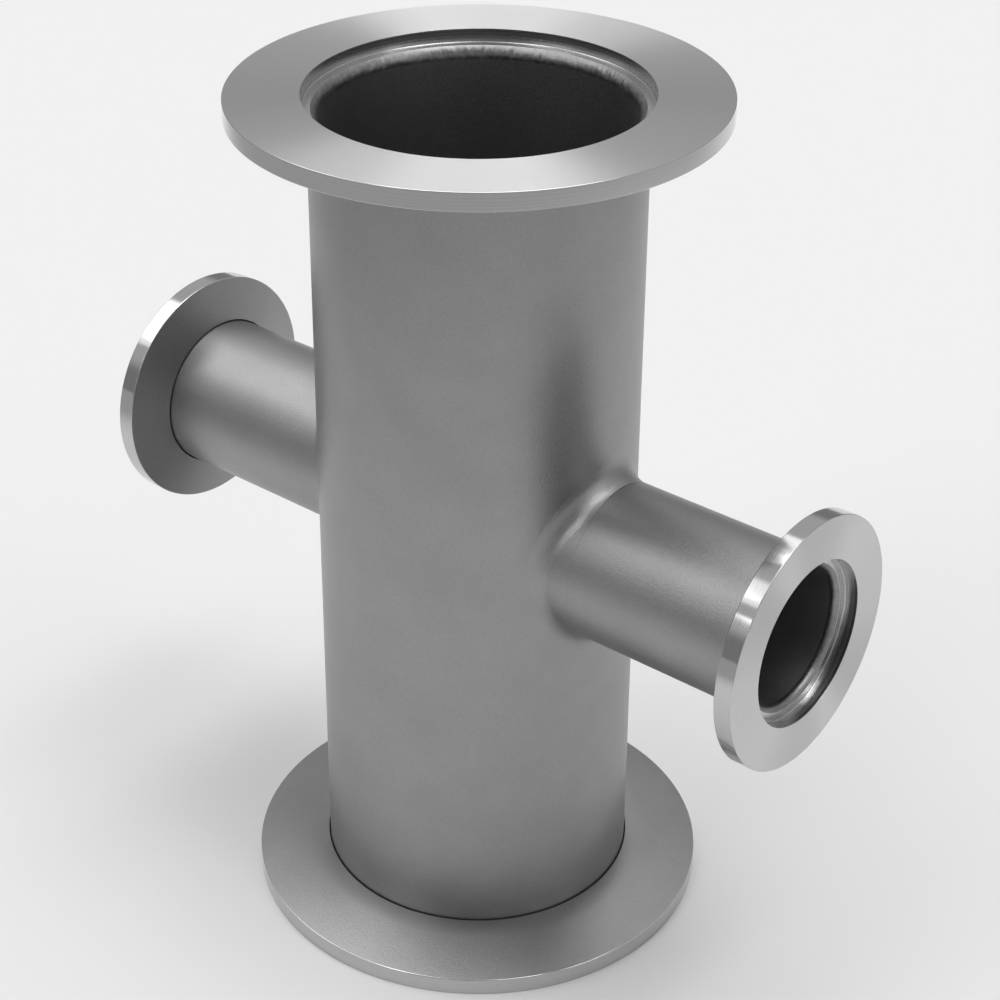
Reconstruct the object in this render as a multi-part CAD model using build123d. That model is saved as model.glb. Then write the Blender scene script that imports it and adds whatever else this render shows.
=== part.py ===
from build123d import *
from dataclasses import dataclass
from math import radians, tan
import os

# Reducing cross for vacuum pipework, all sizes in millimetres.
# The large run stands along Z and the small branches lie along X.
# The origin is the centre of the bottom flange's sealing face.

# Run and branches
main_centre_to_face = 70.0
branch_centre_to_face = 62.5
main_tube_diameter = 50.8
main_tube_wall = 1.65
branch_tube_diameter = 25.4
branch_tube_wall = 1.65

# Collars pulled out of the run's wall
collar_rise = 1.5
collar_blend_radius = 3.5

# Clamp flanges, whose recess wall stands outside the tube's surface by a small step
main_flange_diameter = 75.0
main_recess_step = 0.7
branch_flange_diameter = 40.0
branch_recess_step = 0.4
rim_thickness = 2.9
clamp_taper = 15.0
hub_thickness = 5.0
recess_depth = 2.2
recess_corner_radius = 0.2
mouth_break = 0.15
rim_break = 0.15

# Sockets that the tubes enter from the back of a flange
lip_thickness = 0.8
socket_clearance = 0.2

# Inside beads that join a flange's lip to the end of its tube
main_bead_width = 0.85
main_bead_toe = 1.1
branch_bead_width = 0.6
branch_bead_toe = 0.5
bead_bulge = 0.3

# Butt welds between the collars and the branch tubes, dressed flush with both
butt_weld_width = 0.9


@dataclass
class Pipe:
    """The sizes that a tube shares with its flanges and their beads."""

    flange_diameter: float
    recess_step: float
    tube_diameter: float
    wall: float
    bead_width: float
    bead_toe: float

    def __post_init__(self):
        self.rim = self.flange_diameter / 2
        self.outside = self.tube_diameter / 2
        self.bore = self.outside - self.wall
        self.lip = self.bore + self.bead_width
        self.socket = self.outside + socket_clearance
        self.recess = self.outside + self.recess_step


main_pipe = Pipe(
    flange_diameter=main_flange_diameter,
    recess_step=main_recess_step,
    tube_diameter=main_tube_diameter,
    wall=main_tube_wall,
    bead_width=main_bead_width,
    bead_toe=main_bead_toe,
)
branch_pipe = Pipe(
    flange_diameter=branch_flange_diameter,
    recess_step=branch_recess_step,
    tube_diameter=branch_tube_diameter,
    wall=branch_tube_wall,
    bead_width=branch_bead_width,
    bead_toe=branch_bead_toe,
)

# Places that follow from the sizes above
run_height = 2 * main_centre_to_face
tube_stop = recess_depth + lip_thickness
collar_reach = main_pipe.outside + collar_rise
collar_depth = branch_centre_to_face - collar_reach
branch_tube_end = collar_depth - butt_weld_width

# A port has its sealing face at z = 0 and its metal above, until it is placed on the cross.
bottom_port = Location((0, 0, 0))
top_port = Location((0, 0, run_height), (180, 0, 0))
right_port = Location((branch_centre_to_face, 0, main_centre_to_face), (0, -90, 0))
left_port = Location((-branch_centre_to_face, 0, main_centre_to_face), (0, 90, 0))


def at(radius, height):
    """A point of a turned outline, in the plane of X and Z."""
    return Vector(radius, 0, height)


def turned(outline):
    """A closed outline spun round the Z axis."""
    return revolve(make_face(outline), Axis.Z)


def bulged(start, end, height):
    """An arc that stands the given height to the left of the line from start to end."""
    along = (end - start).normalized()
    left = Vector(-along.Z, 0, along.X)
    return ThreePointArc(start, (start + end) / 2 + left * height, end)


def clamp_flange(pipe):
    """A turned flange, with its clamp taper, hub, tube socket, lip and centring recess."""
    slope = tan(radians(clamp_taper))
    # The taper runs inwards to the hub ring, or to the socket where that comes first.
    taper_run = min((hub_thickness - rim_thickness) / slope, pipe.rim - pipe.socket)
    outline = [
        at(pipe.recess + mouth_break, 0),
        at(pipe.rim - rim_break, 0),
        at(pipe.rim, rim_break),
        at(pipe.rim, rim_thickness - rim_break),
        at(pipe.rim - rim_break, rim_thickness + rim_break * slope),
        at(pipe.rim - taper_run, rim_thickness + taper_run * slope),
    ]
    if taper_run < pipe.rim - pipe.socket:
        outline.append(at(pipe.socket, hub_thickness))
    outline += [
        at(pipe.socket, tube_stop),
        at(pipe.lip, tube_stop),
        at(pipe.lip, recess_depth),
        at(pipe.recess, recess_depth),
        at(pipe.recess, mouth_break),
    ]
    ring = turned(Polyline(*outline, close=True))
    circles = ring.edges().filter_by(GeomType.CIRCLE)
    recess_corner = circles.sort_by_distance(at(pipe.recess, recess_depth))[0]
    return fillet(recess_corner, recess_corner_radius)


def flange_weld(pipe):
    """The bead that fuses a flange's lip to the prepared end of its tube."""
    lip_top = at(pipe.lip, recess_depth)
    lip_foot = at(pipe.lip, tube_stop)
    toe = at(pipe.bore, tube_stop + pipe.bead_toe)
    return turned(Polyline(lip_top, lip_foot, toe) + bulged(lip_top, toe, bead_bulge))


def bead_seat(pipe):
    """The corner that is taken off the inside of a tube's end to seat its bead."""
    toe = at(pipe.bore, tube_stop + pipe.bead_toe)
    corner = [at(pipe.bore, tube_stop), at(pipe.lip, tube_stop), toe]
    return turned(Polyline(*corner, close=True))


def branch_tube(pipe):
    """A short tube from its flange's lip to the butt weld on the collar."""
    blank = turned(
        Polyline(
            at(pipe.bore, tube_stop),
            at(pipe.outside, tube_stop),
            at(pipe.outside, branch_tube_end),
            at(pipe.bore, branch_tube_end),
            close=True,
        )
    )
    return blank - bead_seat(pipe)


def blended_cross(run_radius, branch_radius, blend_radius):
    """A run crossed by a branch, with the corner between them rounded all the way."""
    # A quarter turn keeps the run's own seam line clear of the branches.
    run = Cylinder(run_radius, run_height - 2 * tube_stop, rotation=(0, 0, 90))
    branch_length = 2 * (collar_reach + butt_weld_width + blend_radius)
    branch = Cylinder(branch_radius, branch_length, rotation=(0, 90, 0))
    seams = new_edges(run, branch, combined=run + branch)
    return Pos(Z=main_centre_to_face) * fillet(seams, blend_radius)


def cross_skin():
    """The wall of the run and of both collars, before the collars are cut to length."""
    outside = blended_cross(main_pipe.outside, branch_pipe.outside, collar_blend_radius)
    hollow = blended_cross(main_pipe.bore, branch_pipe.bore, collar_blend_radius + main_tube_wall)
    return outside - hollow


def main_tube(skin):
    """The run's tube, with both collars pulled out of its wall to a flat rim."""
    rim_to_rim = Pos(Z=main_centre_to_face) * Box(2 * collar_reach, run_height, run_height)
    seat = bead_seat(main_pipe)
    return skin & rim_to_rim - bottom_port * seat - top_port * seat


def branch_weld(skin, port):
    """The ring of weld metal on a collar's rim, which carries the collar's blend to the branch tube."""
    middle = (branch_tube_end + collar_depth) / 2
    return skin & port * Pos(Z=middle) * Box(run_height, run_height, butt_weld_width)


skin = cross_skin()
pieces = {
    "main_tube": main_tube(skin),
    "top_flange": top_port * clamp_flange(main_pipe),
    "top_flange_weld": top_port * flange_weld(main_pipe),
    "bottom_flange": bottom_port * clamp_flange(main_pipe),
    "bottom_flange_weld": bottom_port * flange_weld(main_pipe),
}
for side, port in (("left", left_port), ("right", right_port)):
    pieces[f"{side}_branch_tube"] = port * branch_tube(branch_pipe)
    pieces[f"{side}_branch_weld"] = branch_weld(skin, port)
    pieces[f"{side}_flange"] = port * clamp_flange(branch_pipe)
    pieces[f"{side}_flange_weld"] = port * flange_weld(branch_pipe)

os.makedirs("parts", exist_ok=True)
for node, piece in pieces.items():
    export_step(piece, f"parts/{node}.step")
    print(node, round(piece.volume, 3), piece.bounding_box())
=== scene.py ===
# %% [markdown]
# # A reducing cross for vacuum pipework
#
# The object is a stainless steel fitting: a straight run of tube with a clamp flange at the top and
# the bottom, and a smaller flanged branch on the left and on the right. Its solids come from CAD.
# This lesson dresses them: turned flanges with crisp polished rims, rippled welds, blasted tubes,
# and a pale floor under soft studio light.
#
# The first step loads the CAD model as a fixed frame.

# %% Load the frame
from math import atan2, cos, hypot, pi, radians, sin, tan

import bmesh
import bpy
from mathutils import Euler, Matrix, Quaternion, Vector, noise


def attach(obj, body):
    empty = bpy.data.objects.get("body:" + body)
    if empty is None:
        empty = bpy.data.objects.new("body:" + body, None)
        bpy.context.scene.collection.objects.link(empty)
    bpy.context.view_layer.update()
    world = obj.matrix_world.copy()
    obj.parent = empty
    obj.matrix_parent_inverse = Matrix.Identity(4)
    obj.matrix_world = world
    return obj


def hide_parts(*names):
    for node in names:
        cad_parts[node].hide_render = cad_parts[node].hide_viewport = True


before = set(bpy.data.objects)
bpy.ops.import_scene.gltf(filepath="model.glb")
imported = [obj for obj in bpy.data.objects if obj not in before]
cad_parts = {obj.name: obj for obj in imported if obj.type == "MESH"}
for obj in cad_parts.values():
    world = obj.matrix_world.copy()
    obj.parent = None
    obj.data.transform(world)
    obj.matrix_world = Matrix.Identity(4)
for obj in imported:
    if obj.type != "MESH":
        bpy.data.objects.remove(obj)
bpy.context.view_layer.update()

# %% [markdown]
# ## Sizes
#
# Blender works in metres and a fitting like this is drawn in millimetres, so one name turns the
# drawing's numbers into metres. The sizes are those of the CAD model. The visible pieces have to
# stay in the same places, because other parts are joined to these faces.

# %% Sizes from the drawing
mm = 0.001

run_height = 140 * mm
branch_centre = 70 * mm
branch_reach = 62.5 * mm

# Depths below a flange's sealing face
rim_depth = 2.9 * mm
recess_depth = 2.2 * mm
tube_stop = 3.0 * mm
hub_depth = 5.0 * mm
clamp_taper = radians(15)

# Radii, and the depth at which the inside bead ends
large = dict(rim=37.5, recess=26.1, socket=25.6, lip=24.6, bore=23.75, bead_toe=4.1)
small = dict(rim=20.0, recess=13.1, socket=12.9, lip=11.65, bore=11.05, bead_toe=3.5)
for size in (large, small):
    for name in size:
        size[name] *= mm
print("rims in mm:", round(2 * large["rim"] / mm, 1), "and", round(2 * small["rim"] / mm, 1))

# %% [markdown]
# ## Camera
#
# The camera stands where the photographer stood: to the right of the fitting and above it, looking
# down at about 29 degrees. The place came from matching the ellipses of the four flanges. The
# picture was cropped from a wider one, which a lens shift repeats without bending the
# perspective.

# %% The camera
camera_azimuth = radians(40.788)
camera_elevation = radians(28.776)
camera_roll = -0.006727
camera_distance = 0.36527
camera_target = Vector((-4.445, -3.836, 87.715)) * mm

camera_data = bpy.data.cameras.new("photo_camera")
camera_data.sensor_width = 36
camera_data.lens = 83.94
camera_data.shift_x = 0.0594
camera_data.shift_y = -0.0963
camera_data.clip_start = 0.01
camera_data.clip_end = 50

towards_camera = Vector(
    (
        sin(camera_azimuth) * cos(camera_elevation),
        -cos(camera_azimuth) * cos(camera_elevation),
        sin(camera_elevation),
    )
)
camera = bpy.data.objects.new("photo_camera", camera_data)
camera.location = camera_target + towards_camera * camera_distance
camera.rotation_mode = "QUATERNION"
tilt = Euler((pi / 2 - camera_elevation, 0, camera_azimuth)).to_quaternion()
camera.rotation_quaternion = tilt @ Quaternion((0, 0, 1), camera_roll)
bpy.context.scene.collection.objects.link(camera)
bpy.context.scene.camera = camera
print("camera at, in mm:", [round(value / mm, 1) for value in camera.location])

# %% [markdown]
# ## Nodes, the short way
#
# A material is a small graph of nodes. A few helpers keep the graphs readable: one feeds a socket
# with a number or with another node's output, one adds a node and sets its options, and two add
# the nodes that this lesson uses most, for arithmetic and for taking a number from one range to
# another.

# %% Helpers for node graphs
def feed(tree, socket, value):
    """Gives a socket a number, a colour, or another node's output."""
    if isinstance(value, bpy.types.NodeSocket):
        tree.links.new(value, socket)
    else:
        socket.default_value = value


def add_node(tree, kind, options=None, **inputs):
    """Adds a node, sets its options, and feeds its inputs by name."""
    node = tree.nodes.new(kind)
    for key, value in (options or {}).items():
        setattr(node, key, value)
    for key, value in inputs.items():
        feed(tree, node.inputs[key.replace("_", " ")], value)
    return node


def maths(tree, operation, *values):
    """One step of arithmetic on numbers."""
    node = add_node(tree, "ShaderNodeMath", {"operation": operation})
    for socket, value in zip(node.inputs, values):
        feed(tree, socket, value)
    return node.outputs[0]


def ramp(tree, value, start, end, low, high, **options):
    """Takes a number from the range of start to end to the range of low to high."""
    node = add_node(tree, "ShaderNodeMapRange", options)
    for socket, number in zip(node.inputs, (value, start, end, low, high)):
        feed(tree, socket, number)
    return node.outputs["Result"]


print("helpers for node graphs: feed, add_node, maths and ramp")

# %% [markdown]
# ## Light
#
# Polished steel shows the room more than it shows itself, so the light is drawn as a room, in the
# world's nodes and by direction. Its walls are pale above and dimmer near the table. It is darkest
# round the camera, because a photographer switches off what would glare in the lens.
#
# Soft panels hang above the fitting. One long strip from front to back lights the flanks of the
# tubes, one from left to right makes the bright fans on the top face, and the others pick out the
# collars, the left branch and the recess. Lamps would do this too, but they would all need placing
# and aiming. A direction alone is simpler, and it keeps every shadow as soft as in the photograph.

# %% The walls of the studio
world = bpy.data.worlds.new("studio")
world.use_nodes = True
bpy.context.scene.world = world
sky = world.node_tree

direction = add_node(sky, "ShaderNodeTexCoord").outputs["Generated"]
ray = add_node(sky, "ShaderNodeSeparateXYZ", Vector=direction).outputs
facing = add_node(sky, "ShaderNodeVectorMath", {"operation": "DOT_PRODUCT"})
feed(sky, facing.inputs[0], direction)
feed(sky, facing.inputs[1], towards_camera)


def soft_step(value, start, end, low, high):
    """A smooth step from low to high in the studio's nodes."""
    return ramp(sky, value, start, end, low, high, interpolation_type="SMOOTHSTEP")


high_walls = soft_step(facing.outputs["Value"], start=0.72, end=0.9, low=0.57, high=0.12)
low_walls = soft_step(ray["X"], start=0.3, end=0.8, low=0.27, high=0.55)
upwards = soft_step(ray["Z"], start=0.24, end=0.42, low=0, high=1)
rise = maths(sky, "MULTIPLY", upwards, maths(sky, "SUBTRACT", high_walls, low_walls))
room = maths(sky, "ADD", low_walls, rise)
print("the walls are pale above, dim below and dark round the camera")

# %% The panels overhead
soft_edge = 0.06
height_above = maths(sky, "MAXIMUM", ray["Z"], 0.001)
across = maths(sky, "DIVIDE", ray["X"], height_above)
behind = maths(sky, "DIVIDE", ray["Y"], height_above)


def between(value, start, end):
    """One from start to end and nothing outside, with soft edges."""
    begins = soft_step(value, start - soft_edge, start + soft_edge, 0, 1)
    ends = soft_step(value, end - soft_edge, end + soft_edge, 1, 0)
    return maths(sky, "MULTIPLY", begins, ends)


# A panel has its left, right, near and far edges in steps of its own height, and its brightness.
panels = {
    "strip from front to back": (-0.3, 0.0, -1.50, 0.60, 2.5),
    "wide one on the left": (-1.1, -0.6, -0.75, 0.25, 1.5),
    "strip from left to right": (-0.6, 1.2, 0.03, 0.22, 2.8),
    "low one in front of the left branch": (-1.9, -0.45, -0.90, -0.35, 0.8),
    "one in front on the right": (0.6, 1.2, -0.50, -0.18, 1.0),
    "bright one over the right collar": (0.2, 0.42, -0.25, 0.45, 3.8),
    "small one behind on the left": (-0.68, -0.42, 0.25, 0.60, 1.2),
    "low one in front of the recess": (-0.85, -0.35, -2.20, -1.30, 2.0),
    "low one on the right": (1.3, 2.2, 0.15, 0.50, 2.0),
}
for left, right, near, far, brightness in panels.values():
    shape = maths(sky, "MULTIPLY", between(across, left, right), between(behind, near, far))
    room = maths(sky, "ADD", room, maths(sky, "MULTIPLY", shape, brightness))
feed(sky, sky.nodes["Background"].inputs["Strength"], room)
feed(sky, sky.nodes["Background"].inputs["Color"], (1, 1, 1, 1))
print("no lamps, and", len(panels), "soft panels:", ", ".join(panels))

# %% [markdown]
# ## Floor
#
# A large pale sheet carries the fitting. It is pale in a broad lane under the fitting and behind
# it. Towards the sides and the front its colour falls off to grey. That grey is painted shade,
# standing in for the light that a table loses towards a darker room. The lane is fixed on the
# sheet, along the line in which the photograph was taken. The steel needs the grey beside it:
# without it the front of every tube would mirror plain white paper. Two sheets of different paper
# would do it too, but with an edge that the polished rims would show.

# %% The sheet
bpy.ops.object.select_all(action="DESELECT")
bpy.ops.mesh.primitive_plane_add(size=8.0, location=(0, 0, 0))
floor = bpy.context.object
floor.name = "floor"
print("the sheet is", round(floor.dimensions.x, 1), "m wide")

# %% Its paper, greyed with painted shade
# The lane's middle, half width and front, in metres across and along it
lane_middle = 0.05
lane_half_width = 0.23
lane_front = -0.22

paper = bpy.data.materials.new("pale_floor")
paper.use_nodes = True
sheet = paper.node_tree
place = add_node(sheet, "ShaderNodeTexCoord").outputs["Object"]
turned = add_node(sheet, "ShaderNodeVectorRotate", {"rotation_type": "Z_AXIS"}, Vector=place)
turned.inputs["Angle"].default_value = -camera_azimuth
lane = add_node(sheet, "ShaderNodeSeparateXYZ", Vector=turned.outputs["Vector"]).outputs
aside = maths(sheet, "DIVIDE", maths(sheet, "SUBTRACT", lane["X"], lane_middle), lane_half_width)
ahead = maths(sheet, "MAXIMUM", maths(sheet, "DIVIDE", lane["Y"], lane_front), 0.0)
squares = maths(
    sheet,
    "ADD",
    maths(sheet, "MULTIPLY", aside, aside),
    maths(sheet, "MULTIPLY", ahead, ahead),
)
# Painted shade: the sheet's colour darkens towards its sides and front, where a darker room would
# leave less light.
painted_shade_grey = ramp(
    sheet,
    maths(sheet, "SQRT", squares),
    start=0.85,
    end=1.6,
    low=0.70,
    high=0.39,
    interpolation_type="SMOOTHSTEP",
)
shader = sheet.nodes["Principled BSDF"]
feed(sheet, shader.inputs["Base Color"], painted_shade_grey)
feed(sheet, shader.inputs["Roughness"], 0.9)
feed(sheet, shader.inputs["Specular IOR Level"], 0.0)
floor.data.materials.append(paper)
print("the pale lane is about", 2 * lane_half_width, "m wide")

# %% [markdown]
# ## Blasted steel
#
# The tubes and the backs of the flanges were blasted with fine glass beads. Up close that is a
# field of tiny dents, which makes the steel matt and a little sparkling where it catches the
# ceiling. A fine noise gives the dents their height and varies the colour and the gloss, and a
# broad one leaves the faint clouds of a surface that was blasted by hand.

# %% Helpers for metals
def start_metal(name, roughness, anisotropy=0.0):
    """A new metal, its tree and its shader, with the even gloss it has before any noise."""
    metal = bpy.data.materials.new(name)
    metal.use_nodes = True
    tree = metal.node_tree
    shader = tree.nodes["Principled BSDF"]
    shader.inputs["Metallic"].default_value = 1.0
    shader.inputs["Roughness"].default_value = roughness
    shader.inputs["Anisotropic"].default_value = anisotropy
    return metal, tree, shader


def solid_noise(tree, per_metre, detail):
    """Noise all through the piece, as in a block of stone, with so many grains in a metre."""
    spot = add_node(tree, "ShaderNodeTexCoord").outputs["Object"]
    node = add_node(tree, "ShaderNodeTexNoise", Vector=spot, Scale=per_metre, Detail=detail)
    return node.outputs[0]


def spread(tree, value, low, high):
    """A number that wanders between low and high. Most of a noise lies from 0.3 to 0.7."""
    return ramp(tree, value, 0.3, 0.7, low, high, clamp=False)


def dent(tree, shader, height, strength, depth):
    """Feeds a height into the shader's normal."""
    bump = add_node(tree, "ShaderNodeBump", Height=height, Strength=strength, Distance=depth)
    feed(tree, shader.inputs["Normal"], bump.outputs["Normal"])


print("helpers for metals: start_metal, solid_noise, spread and dent")

# %% Blasted steel
blasted_steel, tree, shader = start_metal("blasted_steel", roughness=0.45)
dents = solid_noise(tree, per_metre=4200.0, detail=2.0)
clouds = solid_noise(tree, per_metre=110.0, detail=3.0)
dent_tone = spread(tree, dents, low=0.31, high=0.36)
cloud_tone = spread(tree, clouds, low=-0.012, high=0.012)
feed(tree, shader.inputs["Base Color"], maths(tree, "ADD", dent_tone, cloud_tone))
feed(tree, shader.inputs["Roughness"], spread(tree, dents, low=0.38, high=0.45))
dent(tree, shader, dents, strength=0.9, depth=0.04 * mm)
print(blasted_steel.name, "has", len(tree.nodes), "nodes")

# %% [markdown]
# ## Turned and polished steel
#
# A lathe leaves fine grooves round its axis. Light spreads across grooves and not along them, so
# the sealing face of the top flange shows two bright fans, towards the camera and away from it.
# That is what anisotropy is for: the shader is told which way the grooves run, and how much wider
# a reflection is across them.
#
# Each turned piece keeps its place on the lathe as an attribute before it is moved to its port, so
# one material serves all four flanges, whichever way they face. Face, rim and recess differ only
# in how fine the tool was and how much was polished afterwards, so one helper makes all three.

# %% Turned steel
def turned_metal(name, per_metre, tone, gloss, roughness, anisotropy):
    """A metal with grooves round the lathe's axis, for a face, a rim or a recess."""
    metal, tree, shader = start_metal(name, roughness, anisotropy)
    lathe = add_node(tree, "ShaderNodeAttribute", {"attribute_name": "lathe_place"})
    place = add_node(tree, "ShaderNodeSeparateXYZ", Vector=lathe.outputs["Vector"]).outputs
    # Radius and depth together change along the outline, wherever it runs.
    along_outline = maths(tree, "ADD", place["X"], place["Y"])
    grooves = add_node(
        tree,
        "ShaderNodeTexNoise",
        {"noise_dimensions": "1D"},
        W=along_outline,
        Scale=per_metre,
        Detail=3.0,
    ).outputs[0]
    feed(tree, shader.inputs["Base Color"], spread(tree, grooves, *tone))
    feed(tree, shader.inputs["Roughness"], spread(tree, grooves, *gloss))
    # The grooves give the direction, and a quarter turn spreads the light across them.
    stored = add_node(tree, "ShaderNodeAttribute", {"attribute_name": "along_grooves"})
    feed(tree, shader.inputs["Tangent"], stored.outputs["Vector"])
    shader.inputs["Anisotropic Rotation"].default_value = 0.25
    print(name, "has", len(tree.nodes), "nodes")
    return metal


turned_face = turned_metal(
    "turned_face",
    per_metre=9000.0,
    tone=(0.59, 0.66),
    gloss=(0.37, 0.43),
    roughness=0.42,
    anisotropy=0.9,
)
polished_rim = turned_metal(
    "polished_rim",
    per_metre=7000.0,
    tone=(0.50, 0.57),
    gloss=(0.07, 0.13),
    roughness=0.1,
    anisotropy=0.5,
)
turned_recess = turned_metal(
    "turned_recess",
    per_metre=2500.0,
    tone=(0.50, 0.56),
    gloss=(0.23, 0.29),
    roughness=0.27,
    anisotropy=0.6,
)

# %% [markdown]
# ## Weld metal
#
# Weld metal froze from liquid. It was neither blasted nor cut, so it is duller and darker than the
# steel beside it, smooth in one place and pitted in the next. One fine noise varies its grey and
# its gloss and leaves shallow pits. The larger ripples are shape and not finish: they come with
# the beads below.

# %% Weld metal
weld_metal, tree, shader = start_metal("weld_metal", roughness=0.42)
pits = solid_noise(tree, per_metre=1500.0, detail=3.0)
feed(tree, shader.inputs["Base Color"], spread(tree, pits, low=0.23, high=0.32))
feed(tree, shader.inputs["Roughness"], spread(tree, pits, low=0.36, high=0.46))
dent(tree, shader, pits, strength=0.3, depth=0.02 * mm)
print(weld_metal.name, "has", len(tree.nodes), "nodes")

# %% [markdown]
# ## Turned rings
#
# A flange, a tube and a weld bead are all rings: one outline carried round an axis. Each is drawn
# as on a lathe, from a circle that is pulled out along its outline and closed on itself. Spin
# would do it too, but it takes the outline as loose edges that have to be built first, and the
# circle is one operator.

# %% Draw a ring
def draw_ring(name, outline, columns):
    """Draws a circle along a closed outline of (radius, height) and closes it on itself."""
    bpy.ops.object.select_all(action="DESELECT")
    radius, level = outline[0]
    bpy.ops.mesh.primitive_circle_add(vertices=columns, radius=radius, location=(0, 0, level))
    ring = bpy.context.object
    ring.name = name
    ring.data.name = name
    bpy.ops.object.mode_set(mode="EDIT")
    for next_radius, next_level in outline[1:] + outline[:1]:
        lift = (0, 0, next_level - level)
        bpy.ops.mesh.extrude_edges_move(TRANSFORM_OT_translate={"value": lift})
        growth = next_radius / radius
        bpy.ops.transform.resize(value=(growth, growth, 1), center_override=(0, 0, next_level))
        radius, level = next_radius, next_level
    bpy.ops.mesh.select_all(action="SELECT")
    bpy.ops.mesh.remove_doubles(threshold=0.001 * mm)
    bpy.ops.mesh.normals_make_consistent(inside=False)
    bpy.ops.mesh.select_all(action="DESELECT")
    bpy.ops.object.mode_set(mode="OBJECT")
    bpy.ops.object.transform_apply(location=True, rotation=True, scale=True)
    return ring


print("a ring is drawn by draw_ring")

# %% [markdown]
# ### Broken edges
#
# A turned edge is never razor sharp, and a rounded one catches a thin line of light. A Bevel
# modifier would round every edge alike. Here each ring of edges is picked by its radius and
# height, and gets a width of its own. Weighted normals then keep the flat faces flat, so that only
# the rounded edges turn the light.

# %% Round and smooth a ring
def round_corner(ring, radius, level, width, segments=4):
    """Rounds the ring of edges at one radius and height."""
    near = 0.002 * mm
    bpy.ops.object.mode_set(mode="EDIT")
    bpy.ops.mesh.select_mode(type="EDGE")
    mesh = bmesh.from_edit_mesh(ring.data)
    for edge in mesh.edges:
        off_radius = max(abs(hypot(end.co.x, end.co.y) - radius) for end in edge.verts)
        off_level = max(abs(end.co.z - level) for end in edge.verts)
        edge.select_set(off_radius < near and off_level < near)
    bmesh.update_edit_mesh(ring.data)
    bpy.ops.mesh.bevel(offset=width, segments=segments, profile=0.5, clamp_overlap=True)
    bpy.ops.mesh.select_all(action="DESELECT")
    bpy.ops.object.mode_set(mode="OBJECT")


def smooth_ring(ring):
    """Smooth shading in which the large faces stay true and only the rounded edges turn."""
    bpy.ops.object.shade_smooth()
    bpy.ops.object.modifier_add(type="WEIGHTED_NORMAL")
    ring.modifiers[-1].weight = 100
    bpy.ops.object.modifier_apply(modifier=ring.modifiers[-1].name)


print("a ring is finished by round_corner and smooth_ring")

# %% [markdown]
# ### From the lathe to the port
#
# All rings are drawn face down at the origin, as if still on the lathe. Before one leaves it, each
# of its points notes its radius and depth and the way of the grooves there. The turned finishes
# read these notes. The move to the port is applied at once, so every finished object stays at the
# origin and unturned, and its patterns stay put.

# %% The four ports
def port_at(place, turn, axis):
    """The move that takes a ring from the lathe to its port."""
    return Matrix.Translation(place) @ Matrix.Rotation(turn, 4, axis)


ports = {
    "bottom": (port_at((0, 0, 0), 0, "X"), large),
    "top": (port_at((0, 0, run_height), pi, "X"), large),
    "right": (port_at((branch_reach, 0, branch_centre), -pi / 2, "Y"), small),
    "left": (port_at((-branch_reach, 0, branch_centre), pi / 2, "Y"), small),
}
print("the ports are", ", ".join(ports))


# %% From the lathe to the port
def put_in_port(ring, port):
    """Stores the lathe places, turns a finished ring to its port, and applies the move."""
    place = ring.data.attributes.new("lathe_place", "FLOAT_VECTOR", "POINT")
    along = ring.data.attributes.new("along_grooves", "FLOAT_VECTOR", "POINT")
    for vertex in ring.data.vertices:
        x, y, z = vertex.co
        place.data[vertex.index].vector = (hypot(x, y), z, 0)
        along.data[vertex.index].vector = port.to_3x3() @ Vector((-y, x, 0)).normalized()
    ring.matrix_world = port
    bpy.ops.object.select_all(action="DESELECT")
    ring.select_set(True)
    bpy.context.view_layer.objects.active = ring
    bpy.ops.object.transform_apply(location=True, rotation=True, scale=True)


def hand_over(piece, node):
    """Lets a finished piece stand for its CAD node."""
    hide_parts(node)
    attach(piece, "root")
    print(piece.name, "stands for", node, "with", len(piece.data.vertices), "vertices")


print("a piece is placed by put_in_port and then handed over to the frame")

# %% [markdown]
# ## Clamp flanges
#
# Each flange is turned from bar: a flat sealing face with a recess for a centring ring, a thin
# rim, and a back that slopes at 15 degrees, so that a clamp pulls two flanges together. On the
# large flanges the slope ends in a flat hub ring. On the small ones it runs straight into the
# socket that takes the tube.
#
# The solid from CAD has the same outline, but it arrives as facets, and light would step along
# them. So the outline is drawn again at the same sizes, with enough columns to stay round and
# with its edges broken, the recess mouth least of all. Each surface then gets the finish that it
# has on the real flange: grooved face, polished rim, finely turned recess, and a blasted back.

# %% Cut a flange
flange_columns = 256
rim_round = 0.12 * mm
mouth_round = 0.05 * mm
recess_round = 0.2 * mm
lip_round = 0.1 * mm
socket_round = 0.06 * mm


def cut_flange(name, size):
    """One clamp flange, face down, with its edges rounded."""
    rim, recess, socket, lip = size["rim"], size["recess"], size["socket"], size["lip"]
    # The slope runs inwards to the hub's height, or to the socket where that comes first.
    taper_run = min((hub_depth - rim_depth) / tan(clamp_taper), rim - socket)
    back_depth = rim_depth + taper_run * tan(clamp_taper)
    outline = [(recess, 0), (rim, 0), (rim, rim_depth), (rim - taper_run, back_depth)]
    if rim - taper_run > socket:
        outline.append((socket, back_depth))
    outline += [
        (socket, tube_stop),
        (lip, tube_stop),
        (lip, recess_depth),
        (recess, recess_depth),
    ]
    flange = draw_ring(name, outline, flange_columns)
    round_corner(flange, rim, 0, rim_round)
    round_corner(flange, rim, rim_depth, rim_round)
    round_corner(flange, recess, 0, mouth_round)
    round_corner(flange, recess, recess_depth, recess_round)
    round_corner(flange, lip, recess_depth, lip_round, segments=3)
    round_corner(flange, socket, back_depth, socket_round, segments=3)
    return flange


print("a flange is cut by cut_flange, in", flange_columns, "columns")

# %% The flanges and their finishes
flange_finishes = (turned_face, polished_rim, turned_recess, blasted_steel)
face_slot, rim_slot, recess_slot, back_slot = range(len(flange_finishes))
hair = 0.02 * mm
rim_band = 0.2 * mm

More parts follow.
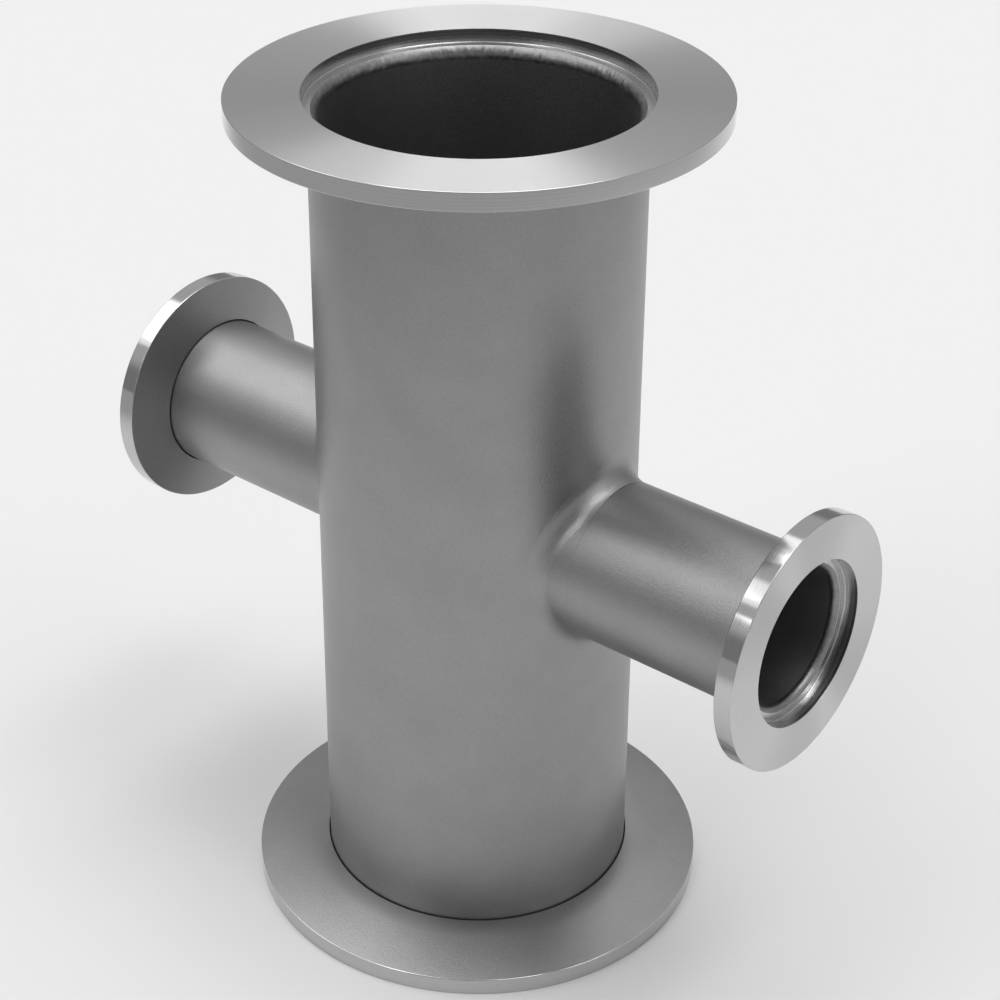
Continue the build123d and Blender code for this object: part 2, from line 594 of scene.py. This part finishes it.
for side, (port, size) in ports.items():
    flange = cut_flange(side + "_clamp_flange", size)
    for finish in flange_finishes:
        flange.data.materials.append(finish)
    for face in flange.data.polygons:
        radius = hypot(face.center.x, face.center.y)
        level = face.center.z
        if level < hair and radius > size["recess"]:
            face.material_index = face_slot
        elif radius > size["rim"] - rim_band:
            face.material_index = rim_slot
        elif radius < size["recess"] + hair and level < recess_depth + hair:
            face.material_index = recess_slot
        else:
            face.material_index = back_slot
    smooth_ring(flange)
    put_in_port(flange, port)
    hand_over(flange, side + "_flange")

# %% [markdown]
# ## Branch tubes
#
# A short length of tube joins each collar to its flange. At the collar its end is a little
# smaller than the flared weld ring, and that step, with its tiny rounded edge, draws the thin line
# round the foot of the branch. At the flange the inside of its end slants, where the bead sits.
# The flange could have been drawn in one piece with it, but they are two pieces of metal with a
# dark gap between them at the socket, and that gap has to be real to look real.

# %% The branch tubes
branch_outside = 12.7 * mm
collar_rim = 26.9 * mm
butt_width = 0.9 * mm
foot = branch_reach - collar_rim - butt_width
tube_columns = 192
foot_round = 0.03 * mm
entry_round = 0.1 * mm

for side in ("left", "right"):
    port, size = ports[side]
    outline = [
        (size["bore"], size["bead_toe"]),
        (size["lip"], tube_stop),
        (branch_outside, tube_stop),
        (branch_outside, foot),
        (size["bore"], foot),
    ]
    tube = draw_ring(side + "_branch", outline, tube_columns)
    round_corner(tube, branch_outside, foot, foot_round, segments=3)
    round_corner(tube, branch_outside, tube_stop, entry_round, segments=3)
    tube.data.materials.append(blasted_steel)
    smooth_ring(tube)
    put_in_port(tube, port)
    hand_over(tube, side + "_branch_tube")

# %% [markdown]
# ## Weld beads
#
# A bead runs round inside each flange, where the lip is fused to the tube. The molten pool froze
# there step by step as it moved on, and left shallow uneven waves with a lump here and there.
#
# A bump texture can shade such waves but can't change the bead's outline, which shows against the
# dark bore. So the bead's own vertices are moved by smooth noise, most at its crown and not at all
# at its two edges, because those have to go on meeting the flange and the tube. The edge at the
# tube laps over it by a hair, or the facets of the tube would glint past it.

# %% Helpers for the beads
def bow(start, end, height, steps):
    """Points of a shallow arc from start to end that stands to the left of the line."""
    (r0, z0), (r1, z1) = start, end
    length = hypot(r1 - r0, z1 - z0)
    side = (-(z1 - z0) / length, (r1 - r0) / length)
    points = []
    for step in range(steps + 1):
        share = step / steps
        rise = 4 * share * (1 - share) * height
        radius = r0 + (r1 - r0) * share + side[0] * rise
        level = z0 + (z1 - z0) * share + side[1] * rise
        points.append((radius, level))
    return points


pool_lag = 0.012
waves_per_mm = 1.7
lumps_per_mm = 0.6
lump_share = 1.5


def ripple(bead, middle, reach, outward, lift, seed):
    """Raises the uneven waves that a moving weld pool leaves along a bead."""
    for vertex in bead.data.vertices:
        x, y, z = vertex.co
        radius = hypot(x, y)
        offset = hypot(radius - middle[0], z - middle[1]) / reach
        weight = max(0.0, 1 - offset * offset)
        # The waves lag towards both edges, as a weld pool does behind its arc.
        angle = atan2(y, x) + pool_lag * offset * offset
        round_the_ring = Vector((cos(angle), sin(angle), seed)) * middle[0] / mm
        waves = noise.noise(round_the_ring * waves_per_mm)
        lumps = noise.noise(vertex.co / mm * lumps_per_mm + Vector((0, 0, seed)))
        rise = lift * weight * (waves + lump_share * lumps)
        grown = radius + outward[0] * rise
        vertex.co = (x * grown / radius, y * grown / radius, z + outward[1] * rise)


print("a bead is shaped by bow and ripple")

# %% The inside beads
toe_lap = 0.03 * mm
crown_height = 0.3 * mm
crown_steps = 10
column_width = 0.09 * mm
large_lift = 0.055 * mm
small_lift = 0.02 * mm
seed_step = 7.3

for number, (side, (port, size)) in enumerate(ports.items()):
    lip_top = (size["lip"], recess_depth)
    toe = (size["bore"] - toe_lap, size["bead_toe"] + toe_lap)
    middle = ((lip_top[0] + toe[0]) / 2, (lip_top[1] + toe[1]) / 2)
    length = hypot(toe[0] - lip_top[0], toe[1] - lip_top[1])
    outward = (-(toe[1] - lip_top[1]) / length, (toe[0] - lip_top[0]) / length)
    bead_outline = bow(lip_top, toe, crown_height, crown_steps) + [(size["lip"], tube_stop)]
    columns = round(2 * pi * size["lip"] / column_width)
    bead = draw_ring(side + "_bead", bead_outline, columns)
    lift = large_lift if size is large else small_lift
    ripple(bead, middle, length * 0.5, outward, lift, number * seed_step)
    bead.data.materials.append(weld_metal)
    bpy.ops.object.shade_smooth_by_angle(angle=radians(50))
    put_in_port(bead, port)
    hand_over(bead, side + "_flange_weld")

# %% [markdown]
# ## The run
#
# The run and its two collars are one piece of metal, pulled out into a flowing blend. The CAD
# solid has that blend in full, and drawing it again would only lose some of it. So the frame's
# own mesh stays, and takes the blasted finish through its material slots. The two butt welds were
# dressed flush and blasted together with the tubes, so they take the same.

# %% The run's tube and the dressed butt welds
for node in ("main_tube", "left_branch_weld", "right_branch_weld"):
    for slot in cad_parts[node].material_slots:
        slot.material = blasted_steel
    print(node, "keeps its CAD mesh, with the blasted finish")

# %% [markdown]
# ## The end
#
# Standard colour management shows a grey as it is written, which a film-like one would bend.

# %% Colour management
bpy.context.scene.view_settings.view_transform = "Standard"
print("colours are shown as", bpy.context.scene.view_settings.view_transform)
